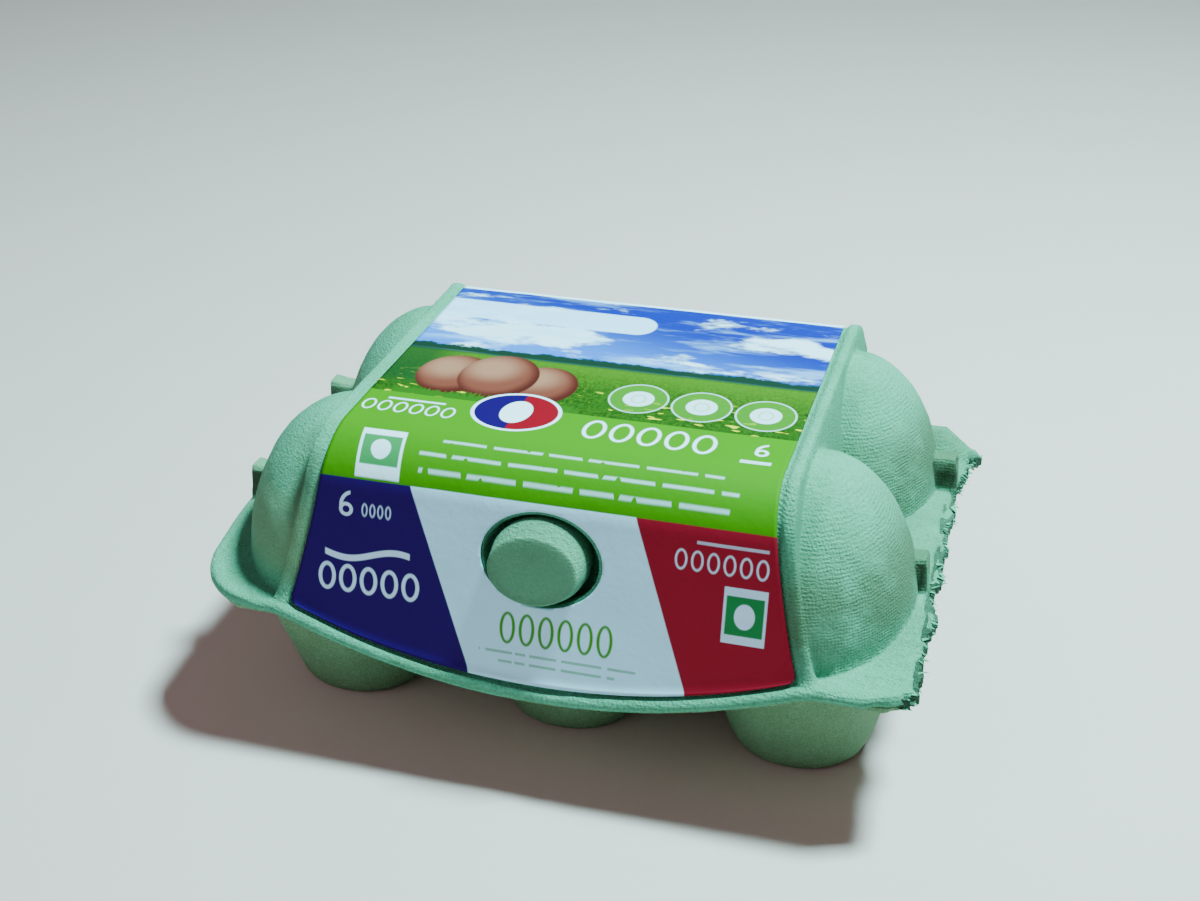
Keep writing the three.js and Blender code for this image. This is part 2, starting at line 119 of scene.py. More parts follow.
# Cups of the tray
FOOT_RADIUS = 10.5
FOOT_WALL_RADIUS = 14
FOOT_SLOPE = 4.6
CREASE_HEIGHT = 8.5
WALL_SLOPE = 3
WEB_HEIGHT = 10
WEB_HALF = 3
WEB_SLOPE = 2.4
WEB_BLEND = 9

# Label
LABEL_BACK_Y = 34.6
LABEL_FOOT_END_Z = 31.9
LABEL_FOOT_MID_Z = 24

# Lock
LOCK_X = 0.7
LOCK_Z = 46.6
HOLE_HALF = (11.9, 9.2)
NUB_HALF = (9.4, 8.2)
NUB_SHIFT = (-0.6, -0.5)
POCKET_DEPTH = 6

# The values from here on are of the looks alone, and the solids don't have them.

# Rows and columns of the grids, and the weight that draws them to the rim
LID_GRID = (262, 290, 2.5)
TRAY_GRID = (270, 300, 1.5)
LABEL_GRID = (170, 130)

# Lumps of the pulp, each with its depth, size and seed
LID_RELIEF = ((0.05, 1.1, 1), (0.07, 3.1, 2), (0.16, 11, 3))
TRAY_RELIEF = ((0.05, 1.1, 11), (0.08, 3.3, 12), (0.2, 12, 13))

# Share of the way to the middle that each ring of a shell's cap steps in
CAP_STEPS = (0.0, 0.06, 0.12, 0.18, 0.24, 0.3, 0.36)

# Fine teeth of the torn edge, each with its depth, spacing and seed, and how far it is drawn back
FINE_TEETH = ((0.35, 0.8, 90), (0.2, 0.37, 130))
TEAR_BACK = 0.3

# Split beside the torn edge: its x at y 0, its lean and waves, and where it opens at each end
SPLIT_X = 69.45
SPLIT_LEAN = 0.022
SPLIT_WAVES = ((0.35, 3.1, 301), (0.15, 0.9, 331))
SPLIT_FRONT = (-46, -43)
SPLIT_BACK = (14, 17)

# Torn end: span of its bands of painted shade, and span, number and furthest x of its frayed tips
SHADE_BAND_Y = (-48.5, 49)
FIBRE_Y = (-48.5, 48.5)
FIBRE_COUNT = 230
FIBRE_LIMIT_X = 74.5

# Levels of the pocket cutter, as scale and height over the front wall, and its place aside
POCKET_LEVELS = (
    (0.975, 8), (0.97, 1.0), (0.955, -0.8), (0.945, -1.2), (0.94, -2.0), (0.94, -POCKET_DEPTH),
)
POCKET_SHIFT = (-0.25, -0.25)

# Nub: levels of its stem and face, its bevel from the first to the last scale and height, and how
# far the face is moved in x and y and squashed
NUB_STEM = ((1.0, -POCKET_DEPTH + GAP), (1.0, -3.6), (1.0, -1.4), (0.998, -0.7), (0.985, -0.25))
NUB_BEVEL = ((0.985, 0.93), (-0.25, 1.75))
NUB_BEVEL_STEPS = 8
NUB_TOP = ((0.91, 1.9), (0.88, 1.98), (0.84, 2.02), (0.7, 2.03), (0.5, 2.02), (0.3, 2.0), (0.1, 1.98))
NUB_LEAN = (-0.5, -1.35, 0.86)

# Foot of the label: radius of its corners, and how much lower and further out it reaches
FOOT_CORNER = 2.2
FOOT_TONGUE = 1.1
FOOT_LIFT = 0.5
FOOT_LIFT_REACH = 1.8

# Height of the nub's face, counted from the frame's origin along the front wall's normal
NUB_FACE = 58.05

# Outer and inner face of the paper, from the bare panel, and how far the paper is narrower than it
PAPER_FACES = (0.1, 0.38)
PAPER_INSET = 0.2


def smooth_min(a, b, k):
    h = np.clip(0.5 + 0.5 * (b - a) / k, 0, 1)
    return b + (a - b) * h - k * h * (1 - h)


def smooth_max(a, b, k):
    return -smooth_min(-a, -b, k)


def lerp(a, b, t):
    return a + (b - a) * t


def ease(start, end, value):
    t = np.clip((value - start) / (end - start), 0, 1)
    return t * t * (3 - 2 * t)


def chance(n):
    s = np.sin(n * 127.1 + 311.7) * 43758.5453
    return s - np.floor(s)


def ragged(t, step, seed):
    n = np.floor(t / step)
    return 2 * lerp(chance(n + seed), chance(n + 1 + seed), t / step - n) - 1


def lattice(ix, iy, iz, seed):
    """A repeatable value from 0 to 1 at each lattice point."""
    n = (ix * 374761393 + iy * 668265263 + iz * 2246822519 + seed * 3266489917) & 0xFFFFFFFF
    n = ((n ^ (n >> 15)) * 2246822519) & 0xFFFFFFFF
    n = ((n ^ (n >> 13)) * 3266489917) & 0xFFFFFFFF
    return (n ^ (n >> 16)) / 4294967295.0


def lumps(points, size, seed):
    """Smooth noise from -1 to 1 over points in millimetres, with lumps about this size."""
    p = points / size
    cell = np.floor(p).astype(np.int64)
    f = p - cell
    f = f * f * (3 - 2 * f)
    total = 0
    for dx in (0, 1):
        for dy in (0, 1):
            for dz in (0, 1):
                weight = (
                    (f[..., 0] if dx else 1 - f[..., 0])
                    * (f[..., 1] if dy else 1 - f[..., 1])
                    * (f[..., 2] if dz else 1 - f[..., 2])
                )
                total = total + weight * lattice(
                    cell[..., 0] + dx, cell[..., 1] + dy, cell[..., 2] + dz, seed
                )
    return 2 * total - 1


# Height functions, the same as in the solids


def flange_top(x, y):
    sag = smooth_max(0, 1 - (x / DIP_HALF_WIDTH) ** 2, 0.12)
    lift = ease(*RISE_X, np.abs(x)) * (1 - ease(*RISE_Y, np.abs(y)))
    return FLANGE_TOP - FLANGE_DIP * sag * ease(DIP_START_Y, DIP_END_Y, y) + END_RISE * lift


def joint_height(x, y):
    return flange_top(x, y) - LID_THICKNESS


def edge_y(x, side):
    return side * (SIDE_Y + BULGE * np.clip(1 - (x / DIP_HALF_WIDTH) ** 2, 0, 1))


def bowed_y(x, y):
    share = ease(BOW_START_Y, SIDE_Y, np.abs(y))
    side = np.sign(y)
    return y + share * (edge_y(x, side) - side * SIDE_Y)


def corner_inset(y, size):
    past = np.clip((np.abs(y) - SIDE_Y + size[1]) / size[1], 0, 1)
    return size[0] * (1 - np.sqrt(1 - past * past))


def left_x(y):
    return LEFT_EDGE + corner_inset(y, CORNER)


def right_x(y, seed):
    tear = np.array(TEAR)
    x = np.interp(y, tear[:, 0], tear[:, 1])
    for depth, spacing, shift in TEETH:
        x = x + depth * ragged(y, spacing, seed + shift)
    return x


def bend(run, radius, centre, steepness):
    end = radius * math.sin(steepness)
    arc = centre + np.sqrt(np.maximum(radius * radius - run * run, 0))
    wall = centre + radius * math.cos(steepness) - (run - end) * math.tan(steepness)
    return np.where(run < end, arc, wall)


def profile_z(y, out):
    front = bend(BEND_Y - y, BEND_RADIUS + out, TOP_Z - BEND_RADIUS, FRONT_STEEPNESS)
    back = bend(y - BACK_BEND_Y, BACK_RADIUS + out, TOP_Z - BACK_RADIUS, BACK_STEEPNESS)
    return np.where(y < BEND_Y, front, np.where(y > BACK_BEND_Y, back, TOP_Z + out))


def label_half(z):
    drop = np.maximum(0, TOP_Z - z)
    return LABEL_HALF_WIDTH + FLARE * drop + FLARE_CURVE * drop * drop


def side_z(across):
    past = np.maximum(0, across - RIM_WIDTH - LABEL_HALF_WIDTH)
    root = np.sqrt(FLARE * FLARE + 4 * FLARE_CURVE * past)
    flared = TOP_Z + 0.6 - (root - FLARE) / (2 * FLARE_CURVE)
    return flared + 9 * np.maximum(0, RIM_WIDTH + LABEL_HALF_WIDTH - across)


def saddle_z(x, y):
    across = np.abs(x)
    half = label_half(profile_z(y, 0))
    rim = ease(half + 0.2, half + 1.3, across)
    out = lerp(-PANEL_DEPTH, RIM_RISE, rim)
    return smooth_min(profile_z(y, out), side_z(across), 1.4)


def dome_z(x, y):
    dx = np.maximum(0, np.abs(x) - DOME_X) / lerp(*DOME_REACH_X, ease(*REACH_CHANGE_Y, y))
    dy = np.abs(np.abs(y) - DOME_Y) / DOME_REACH_Y
    reach = dx**DOME_POWER + dy**DOME_POWER
    under_label = np.maximum(0, label_half(profile_z(y, 0)) + 1.3 - np.abs(x))
    wall = np.where(
        reach < 1,
        DOME_RISE * np.sqrt(np.maximum(1 - reach, 0)),
        -60 * (np.sqrt(reach) - 1),
    )
    return DOME_BASE + wall - 4 * under_label


def rib_z(x, y):
    height, turns, start = RIB_WAVE
    top = RIB_TOP - height * np.sin((np.abs(x) - start) * turns)
    highest = np.zeros(np.broadcast(x, y).shape)
    for front, whole, torn in zip(RIB_FRONTS, RIB_ENDS, TORN_RIB_ENDS):
        end = (np.where(x < 0, whole, torn) - np.abs(x)) / RIB_DRAFT
        faces = np.minimum((y - front) * RIB_SLOPES[0], (front + RIB_WIDTH - y) * RIB_SLOPES[1])
        rib = np.minimum(top, FLANGE_TOP + END_RISE + np.minimum(faces, end))
        highest = np.maximum(highest, np.where(np.abs(x) < DOME_X, 0, rib))
    return highest


def fold_z(x, y):
    start_x, middle_y, start_z = FOLD_START
    fold = start_z - FOLD_FALL[0] * np.maximum(0, x - start_x) - FOLD_FALL[1] * (y - middle_y) ** 2
    return np.where(x < DOME_X, 0, fold)


def lid_z(x, y, edge):
    flange = flange_top(x, y)
    turned = np.clip(1 - edge / LIP_ROUND, 0, 1)
    lip = flange - (LID_THICKNESS - LIP_EDGE) * (1 - np.sqrt(1 - turned * turned))
    z = smooth_max(saddle_z(x, y), dome_z(x, y), 0.9)
    z = smooth_max(z, np.maximum(rib_z(x, y), fold_z(x, y)), 0.8)
    return smooth_max(z, lip, np.where(np.abs(x) < label_half(z) + RIM_WIDTH, 1, 2.2))


def cup_z(x, y):
    r = (np.abs(x) ** 2.2 + np.abs(y) ** 2.2) ** (1 / 2.2)
    foot = (r - FOOT_WALL_RADIUS) * FOOT_SLOPE
    crease = FOOT_WALL_RADIUS + CREASE_HEIGHT / FOOT_SLOPE
    wall = CREASE_HEIGHT + (r - crease) * WALL_SLOPE
    rounded = smooth_max(0, smooth_min(foot, wall, 0.6), 2 * FOOT_SLOPE)
    return np.where(r < FOOT_RADIUS, 0, rounded)


def web_z(x, y):
    along_x = np.abs(np.abs(y) - CUP_PITCH_Y / 2)
    nearest = np.where(np.abs(x) > CUP_PITCH_X / 2, CUP_PITCH_X, 0)
    along_y = np.abs(np.abs(x) - nearest)
    past = np.maximum(0, np.maximum(np.abs(x) - CUP_PITCH_X, np.abs(y) - CUP_PITCH_Y / 2))
    side = np.maximum(0, np.minimum(along_x, along_y) - WEB_HALF)
    return WEB_HEIGHT + WEB_SLOPE * side + 4 * past


def tray_z(x, y):
    cups = web_z(x, y)
    for cx in (-CUP_PITCH_X, 0, CUP_PITCH_X):
        for cy in (-CUP_PITCH_Y / 2, CUP_PITCH_Y / 2):
            cups = smooth_min(cups, cup_z(x - cx, y - cy), WEB_BLEND)
    return np.maximum(0, smooth_min(joint_height(x, y) - TRAY_THICKNESS, cups, 2.5))


# Meshes


def blur(values, passes, axis):
    for _ in range(passes):
        padded = np.concatenate(
            [values.take([0], axis), values, values.take([-1], axis)], axis
        )
        values = (
            padded.take(range(0, values.shape[axis]), axis)
            + 2 * values
            + padded.take(range(2, values.shape[axis] + 2), axis)
        ) / 4
    return values


def spread(places, density, count):
    """Places spaced so that each step holds an equal share of the density."""
    middle = (density[1:] + density[:-1]) / 2 * np.diff(places)
    total = np.concatenate([[0], np.cumsum(middle)])
    return np.interp(np.linspace(0, total[-1], count), total, places)


def height_grid(height, left, right, side, row_count, column_count, edge_weight):
    """Points of a height function, on rows and columns that close up where it is steep."""
    y = np.linspace(-side, side, 900)
    t = np.linspace(0, 1, 700)
    x = lerp(left(y)[:, None], right(y)[:, None], t[None, :])
    yy = np.repeat(y[:, None], len(t), 1)
    edge = np.minimum(side - np.abs(yy), np.minimum(x - x[:, :1], x[:, -1:] - x))
    z = height(x, bowed_y(x, yy), edge)
    rim = edge_weight * np.exp(-edge / 1.2)
    steep_y = np.abs(np.gradient(z, y, axis=0))
    steep_x = np.abs(np.gradient(z, axis=1) / np.gradient(x, axis=1))
    in_y = np.sqrt(1 + np.minimum(steep_y, 5) ** 2)
    row_density = 0.5 * in_y.mean(1) + 0.5 * in_y.max(1) + rim[:, len(t) // 2]
    rows = spread(y, blur(row_density, 12, 0), row_count)
    in_x = blur(blur(np.sqrt(1 + np.minimum(steep_x, 5) ** 2) + rim, 60, 0), 4, 1)
    points = np.zeros((row_count, column_count, 3))
    for j, row in enumerate(rows):
        near = int(round((row + side) / (2 * side) * (len(y) - 1)))
        share = spread(t, in_x[near], column_count)
        xs = lerp(left(np.array(row)), right(np.array(row)), share)
        ys = np.full(column_count, row)
        gap = np.minimum(side - abs(row), np.minimum(xs - xs[0], xs[-1] - xs))
        bowed = bowed_y(xs, ys)
        points[j] = np.stack([xs, bowed, height(xs, bowed, gap)], 1)
    return points


def grid_normals(points):
    du = np.gradient(points, axis=1)
    dv = np.gradient(points, axis=0)
    n = np.cross(du, dv)
    return n / np.maximum(np.linalg.norm(n, axis=2, keepdims=True), 1e-9)


def grid_faces(rows, columns, flip=False):
    index = np.arange(rows * columns).reshape(rows, columns)
    quads = np.stack(
        [index[:-1, :-1], index[:-1, 1:], index[1:, 1:], index[1:, :-1]], -1
    ).reshape(-1, 4)
    return quads[:, ::-1] if flip else quads


def border(rows, columns):
    index = np.arange(rows * columns).reshape(rows, columns)
    return np.concatenate(
        [index[0, :-1], index[:-1, -1], index[-1, :0:-1], index[:0:-1, 0]]
    )


def ring_faces(first, second, flip=False):
    quads = np.stack([first, second, np.roll(second, -1), np.roll(first, -1)], 1)
    return quads[:, ::-1] if flip else quads


def new_mesh(name, points, faces, smooth=True):
    mesh = bpy.data.meshes.new(name)
    placed = (np.asarray(points) - (CENTRE_X, 0, 0)) * MM
    mesh.from_pydata([tuple(p) for p in placed], [], [list(f) for f in faces])
    mesh.update()
    if smooth:
        mesh.shade_smooth()
    piece = bpy.data.objects.new(name, mesh)
    bpy.context.collection.objects.link(piece)
    return piece


def closed_relief(name, points, edge_z, middle_z, up):
    """Closed shell: a grid of points, a skirt to edge_z and rings that step in to a cap."""
    rows, columns = points.shape[:2]
    flat = list(points.reshape(-1, 3))
    faces = [list(f) for f in grid_faces(rows, columns, not up)]
    ring = border(rows, columns)
    outline = points.reshape(-1, 3)[ring]
    centre = np.array([-1.0, -1.0])
    last = ring
    for share in CAP_STEPS:
        xy = centre + (outline[:, :2] - centre) * (1 - share)
        ring_points = np.column_stack([xy, edge_z(xy[:, 0], xy[:, 1])])
        start = len(flat)
        flat.extend(ring_points)
        new = np.arange(start, start + len(ring))
        faces.extend(list(f) for f in ring_faces(last, new, not up))
        last = new
    flat.append(np.array([*centre, middle_z]))
    tip = len(flat) - 1
    for k in range(len(last)):
        a, b = last[k], last[(k + 1) % len(last)]
        faces.append([a, tip, b] if up else [b, tip, a])
    return new_mesh(name, np.array(flat), faces)


def cut_out(piece, cutter):
    """Cuts the cutter out of the piece, and removes it."""
    cut = piece.modifiers.new(cutter.name, "BOOLEAN")
    cut.operation = "DIFFERENCE"
    cut.solver = "EXACT"
    cut.object = cutter
    graph = bpy.context.evaluated_depsgraph_get()
    mesh = bpy.data.meshes.new_from_object(piece.evaluated_get(graph))
    whole = piece.data
    piece.modifiers.clear()
    piece.data = mesh
    bpy.data.meshes.remove(whole)
    mesh.name = piece.name
    bpy.data.objects.remove(cutter)
    return piece


def waves(t, rows, seed=0):
    """Sum of ragged waves, from rows of depth, spacing and seed."""
    return sum(depth * ragged(t, spacing, seed + shift) for depth, spacing, shift in rows)


def pulp_relief(points, rows):
    """Sum of lumps, from rows of depth, size and seed."""
    return sum(depth * lumps(points, size, seed) for depth, size, seed in rows)


def torn_right(y, seed):
    """The torn edge, with finer teeth than the solid has."""
    return right_x(y, seed) + waves(y, FINE_TEETH, seed) - TEAR_BACK


def torn_share(points, reach):
    """1 at the torn edge, falling to 0 at this distance from it."""
    return np.clip(1 - (points[:, -1:, 0] - points[:, :, 0]) / reach, 0, 1)


def split_x(y):
    """Path of the split that runs beside the torn edge."""
    return SPLIT_X - SPLIT_LEAN * y + waves(y, SPLIT_WAVES)


def split_share(y):
    """1 where the split is open and 0 where the pulp still holds."""
    open_here = ease(-0.35, 0.1, ragged(y, 5.2, 361))
    return open_here * ease(*SPLIT_FRONT, y) * (1 - ease(*SPLIT_BACK, y))


def roughen_lid(points):
    """Pulp lumps, which are faint under the label, and a frayed torn edge that droops."""
    x, y, z = (points[..., n] for n in range(3))
    on_label = (label_half(z) > np.abs(x) - 0.5) & (z > FLANGE_TOP - 8) & (y < LABEL_BACK_Y)
    amount = np.where(on_label, 0.3, 1.0)
    torn = torn_share(points, 5)
    rough = 0.35 * torn**2 * lumps(points, 1.3, 4)
    out = amount * pulp_relief(points, LID_RELIEF) + rough
    points = points + grid_normals(points) * out[..., None]
    points[..., 2] -= 0.5 * torn**3 * (0.6 + 0.4 * lumps(points, 2.7, 5))
    return points


def open_split(points):
    """Presses the split into the flange, and the strip outside it a little lower."""
    x, y, z = (points[..., n] for n in range(3))
    joint = joint_height(x, y)
    past = x - split_x(y)
    depth = np.exp(-((past / 0.3) ** 2)) * 0.9 + ease(-0.1, 0.5, past) * 0.4
    on_flange = z < joint + LID_THICKNESS + 0.6
    z -= depth * split_share(y) * on_flange
    np.maximum(z, joint + 0.35, out=z)


def make_lid():
    right = lambda y: torn_right(y, LID_SEED)
    points = roughen_lid(height_grid(lid_z, left_x, right, SIDE_Y, *LID_GRID))
    open_split(points)
    middle_z = FLANGE_TOP - LID_THICKNESS
    piece = closed_relief("lid_shell", points, joint_height, middle_z, True)
    return cut_out(piece, oval_lathe("pocket_cutter", POCKET_LEVELS, HOLE_HALF, POCKET_SHIFT))


def ribbon(name, y, inner, outer, low, high):
    """Closed band along the torn edge, from its x and z at each y."""
    bowed = bowed_y(outer, y)
    corners = ((inner, low), (outer, low), (outer, high), (inner, high))
    points = np.concatenate([np.column_stack([x, bowed, z]) for x, z in corners])
    count = len(y)
    lines = [np.arange(count) + count * k for k in range(4)]
    faces = []
    for a, b in zip(lines, lines[1:] + lines[:1]):
        faces += [list(q) for q in np.stack([a[:-1], a[1:], b[1:], b[:-1]], 1)]
    faces.append([int(line[0]) for line in lines])
    faces.append([int(line[-1]) for line in lines[::-1]])
    return new_mesh(name, points, faces, False)


def make_torn_shade_bands():
    """Dark bands of painted shade in the split and in the gap between lid and tray along the torn end
    face.
    """
    y = np.linspace(*SHADE_BAND_Y, 700)
    edge = torn_right(y, LID_SEED)
    outermost = np.maximum(edge, torn_right(y, TRAY_SEED) - TORN_TRAY_INSET)
    joint = joint_height(edge, y)
    path = split_x(y)
    half = 0.3 + 0.12 * ragged(y, 1.3, 401)
    # the band of painted shade sinks out of sight where the split is shut
    top = joint + LID_THICKNESS - 0.45 - (1 - split_share(y)) * 1.2
    gap_shade_low = joint - 0.75 + 0.25 * ragged(y, 2.3, 411)
    gap_shade_high = joint + 1.15 + 0.35 * ragged(y, 1.7, 421)
    reach = 0.2 + 0.16 * ragged(y, 0.45, 431)
    return [
        ribbon("torn_split_shade", y, path - half, path + half, top - 0.3, top),
        ribbon("torn_gap_shade", y, edge - 1.6, outermost + reach, gap_shade_low, gap_shade_high),
    ]


def make_fibres():
    """Frayed tips that stand out of the torn end, each a flat body with a point."""
    points, faces = [], []
    for k in range(FIBRE_COUNT):
        place, layer, lift, out, slant, dip, long, wide = (
            float(chance(k * 7.3 + n * 31.7)) for n in range(8)
        )
        y = lerp(*FIBRE_Y, place)
        edge = float(torn_right(np.array(y), LID_SEED))
        low = layer < 0.4
        z = float(joint_height(edge, y)) + (-1.5 + 1.3 * lift if low else 0.2 + 1.5 * lift)
        base = np.array([edge - (1.0 if low else 0.5), float(bowed_y(edge, np.array(y))), z])
        along = np.array([0.35 + 0.65 * out, 1.5 * (slant - 0.5), 0.7 * (dip - 0.75)])
        along /= np.linalg.norm(along)
        across = np.array([-along[1], along[0], 0]) / math.hypot(along[0], along[1])
        length = 0.9 + 1.5 * long**2
        width = 0.12 + 0.3 * wide**2
        middle = base + along * length * 0.6 + np.array([0, 0, 0.12])
        a = len(points)
        for centre, half in ((base, width), (middle, width * 0.8)):
            for side, rise in ((-1, -0.06), (1, -0.06), (1, 0.06), (-1, 0.06)):
                points.append(centre + across * half * side + np.array([0, 0, rise]))
        points.append(base + along * length)
        b, tip = a + 4, a + 8
        faces.append([a, a + 1, a + 2, a + 3])
        for n in range(4):
            m = (n + 1) % 4
            faces.append([a + n, b + n, b + m, a + m])
            faces.append([b + n, tip, b + m])
    points = np.array(points)
    points[:, 0] = np.minimum(points[:, 0], FIBRE_LIMIT_X)
    return new_mesh("torn_fibres", points, faces, False)


def make_tray():
    points = height_grid(
        lambda x, y, edge: tray_z(x, y),
        lambda y: left_x(y) + TRAY_INSET,
        lambda y: torn_right(y, TRAY_SEED) - TORN_TRAY_INSET,
        SIDE_Y - TRAY_INSET, *TRAY_GRID,
    )
    standing = ease(0.05, 1.5, points[..., 2])
    rough = 0.3 * torn_share(points, 4) * lumps(points, 1.2, 14)
    out = standing * pulp_relief(points, TRAY_RELIEF) + rough
    points = points - grid_normals(points) * out[..., None]
    points[..., 2] = np.maximum(points[..., 2], 0)
    top = lambda x, y: joint_height(x, y) - GAP
    return closed_relief("tray_shell", points, top, FLANGE_TOP - LID_THICKNESS - GAP, False)


def label_point(x, s, out):
    """Point at x and at the length s along the label from its back edge, out from the panel."""
    top = LABEL_BACK_Y - BEND_Y
    turn = BEND_RADIUS * FRONT_STEEPNESS
    angle = np.clip((s - top) / BEND_RADIUS, 0, FRONT_STEEPNESS)
    down = np.maximum(0, s - top - turn)
    radius = BEND_RADIUS + out
    y = BEND_Y - radius * np.sin(angle) - down * math.cos(FRONT_STEEPNESS)
    z = TOP_Z - BEND_RADIUS + radius * np.cos(angle) - down * math.sin(FRONT_STEEPNESS)
    flat = s < top
    y = np.where(flat, LABEL_BACK_Y - s, y)
    z = np.where(flat, TOP_Z + out, z)
    return np.stack(np.broadcast_arrays(x, y, z), -1)


def length_to(z):
    """Length along the label from its back edge to this height on the front wall."""
    bend_foot = TOP_Z - BEND_RADIUS * (1 - math.cos(FRONT_STEEPNESS))
    flat = LABEL_BACK_Y - BEND_Y + BEND_RADIUS * FRONT_STEEPNESS
    return flat + (bend_foot - z) / math.sin(FRONT_STEEPNESS)


def on_front_wall(piece):
    """Lays a piece made flat in XY on the front wall, at the lock."""
    middle = label_point(LOCK_X - CENTRE_X, length_to(LOCK_Z), 0) * MM
    turn = Matrix.Rotation(FRONT_STEEPNESS, 4, "X")
    piece.data.transform(Matrix.Translation(Vector(middle)) @ turn)
    return piece


def oval_lathe(name, levels, half, shift, sides=96):
    """Closed oval column on the front wall. A level is a scale and a height, and can go on with
    a shift in x, a shift in y and a squash in y."""
    turn = np.arange(sides) / sides * 2 * np.pi
    levels = [level if len(level) == 5 else (*level, 0, 0, 1) for level in levels]
    points = []
    for scale, z, aside, along, squash in levels:
        x = shift[0] + aside + half[0] * scale * np.cos(turn)
        y = shift[1] + along + half[1] * scale * squash * np.sin(turn)
        points.append(np.column_stack([x, y, np.full(sides, float(z))]))
    caps = [
        [shift[0] + aside, shift[1] + along, z] for _, z, aside, along, _ in (levels[0], levels[-1])
    ]
    flat = np.concatenate(points + [np.array(caps)])
    faces = []
    falls = levels[0][1] > levels[-1][1]
    rings = [np.arange(sides) + n * sides for n in range(len(levels))]
    for a, b in zip(rings, rings[1:]):
        faces.extend(list(f) for f in ring_faces(a, b, not falls))
    first, last = len(flat) - 2, len(flat) - 1
    for k in range(sides):
        a, b = rings[0][k], rings[0][(k + 1) % sides]
        faces.append([a, b, first] if falls else [b, a, first])
        a, b = rings[-1][k], rings[-1][(k + 1) % sides]
        faces.append([b, a, last] if falls else [a, b, last])
    piece = new_mesh(name, flat, faces)
    piece.data.transform(Matrix.Translation((CENTRE_X * MM, 0, 0)))
    return on_front_wall(piece)


def make_nub():
    """Straight stem, then a bevel that is wide at the top right and narrow at the bottom left."""
    aside, along, squash = NUB_LEAN
    scales, heights = NUB_BEVEL
    levels = list(NUB_STEM)
    for n in range(1, NUB_BEVEL_STEPS + 1):
        t = n / NUB_BEVEL_STEPS
        levels.append((lerp(*scales, t), lerp(*heights, t), aside * t, along * t, lerp(1, squash, t)))
    levels += [(scale, z, aside, along, squash) for scale, z in NUB_TOP]
    return oval_lathe("lock_nub_face", levels, NUB_HALF, NUB_SHIFT)


def make_label():
    """One sheet with soft waves, round foot corners and the oval hole."""
    rows, columns = LABEL_GRID
    bent = LABEL_BACK_Y - BEND_Y + BEND_RADIUS * FRONT_STEEPNESS
    longest = float(length_to(LABEL_FOOT_MID_Z)) + FOOT_TONGUE
    s = np.linspace(0, longest, rows)[:, None]
    f = np.linspace(-1, 1, columns)[None, :]
    foot = length_to(lerp(LABEL_FOOT_MID_Z, LABEL_FOOT_END_Z, f * f)) + FOOT_TONGUE
    reach = np.where(s <= bent, s, lerp(bent, foot, (s - bent) / (longest - bent)))
    z = label_point(0, reach, 0)[..., 2]
    past = np.clip((reach - foot) / FOOT_CORNER + 1, 0, 1)
    x = f * (label_half(z) - PAPER_INSET - FOOT_CORNER * (1 - np.sqrt(1 - past * past)))
    place = label_point(x, reach, 0)
    wave = 0.06 * lumps(place, 9, 21) + 0.03 * lumps(place, 3.4, 22)
    edge = (1 - np.abs(f)) * LABEL_HALF_WIDTH
    lift = 0.1 * np.exp(-edge / 1.5) * (0.5 + 0.5 * lumps(place, 14, 23))
    lift = lift + FOOT_LIFT * np.clip((reach - foot) / FOOT_LIFT_REACH + 1, 0, 1) ** 2
    sides = [label_point(x, reach, wave - under + lift).reshape(-1, 3) for under in PAPER_FACES]
    count = rows * columns
    faces = [list(q) for q in grid_faces(rows, columns, True)]
    faces += [list(q + count) for q in grid_faces(rows, columns)]
    ring = border(rows, columns)
    faces += [list(q) for q in ring_faces(ring, ring + count, True)]
    piece = new_mesh("label_paper", np.concatenate(sides), faces)
    return cut_out(piece, oval_lathe("oval_cutter", [(1, 5), (1, -5)], HOLE_HALF, (0, 0), 128))


# Materials


class Field:
    """A number that varies over a surface, made of Math nodes."""

    def __init__(self, paint, socket):
        self.paint = paint
        self.socket = socket

    def math(self, operation, *others):
        node = self.paint.node("ShaderNodeMath", operation=operation)
        for slot, value in zip(node.inputs, (self, *others)):
            self.paint.put(slot, value)
        return Field(self.paint, node.outputs[0])

    def __add__(self, other):
        return self.math("ADD", other)

    def __sub__(self, other):
        return self.math("SUBTRACT", other)

    def __mul__(self, other):
        return self.math("MULTIPLY", other)

    def __truediv__(self, other):
        return self.math("DIVIDE", other)

    def __pow__(self, other):
        return self.math("POWER", other)

    def flipped(self):
        return (self * -1) + 1

    def size(self):
        return self.math("ABSOLUTE")

    def highest(self, other):
        return self.math("MAXIMUM", other)

    def above(self, edge, soft=0.15):
        """0 below the edge and 1 above it, over a soft step."""
        node = self.paint.node("ShaderNodeMapRange", interpolation_type="SMOOTHSTEP")
        self.paint.put(node.inputs["Value"], self)
        self.paint.put(node.inputs["From Min"], edge - soft)
        self.paint.put(node.inputs["From Max"], edge + soft)
        return Field(self.paint, node.outputs[0])

    def below(self, edge, soft=0.15):
        return self.above(edge, soft).flipped()

    def between(self, low, high, soft=0.15):
        return self.above(low, soft) * self.below(high, soft)

    def within(self, pitch):
        """Distance from the middle of the nearest repeat."""
        return (self / pitch).math("FRACT") * pitch - pitch / 2


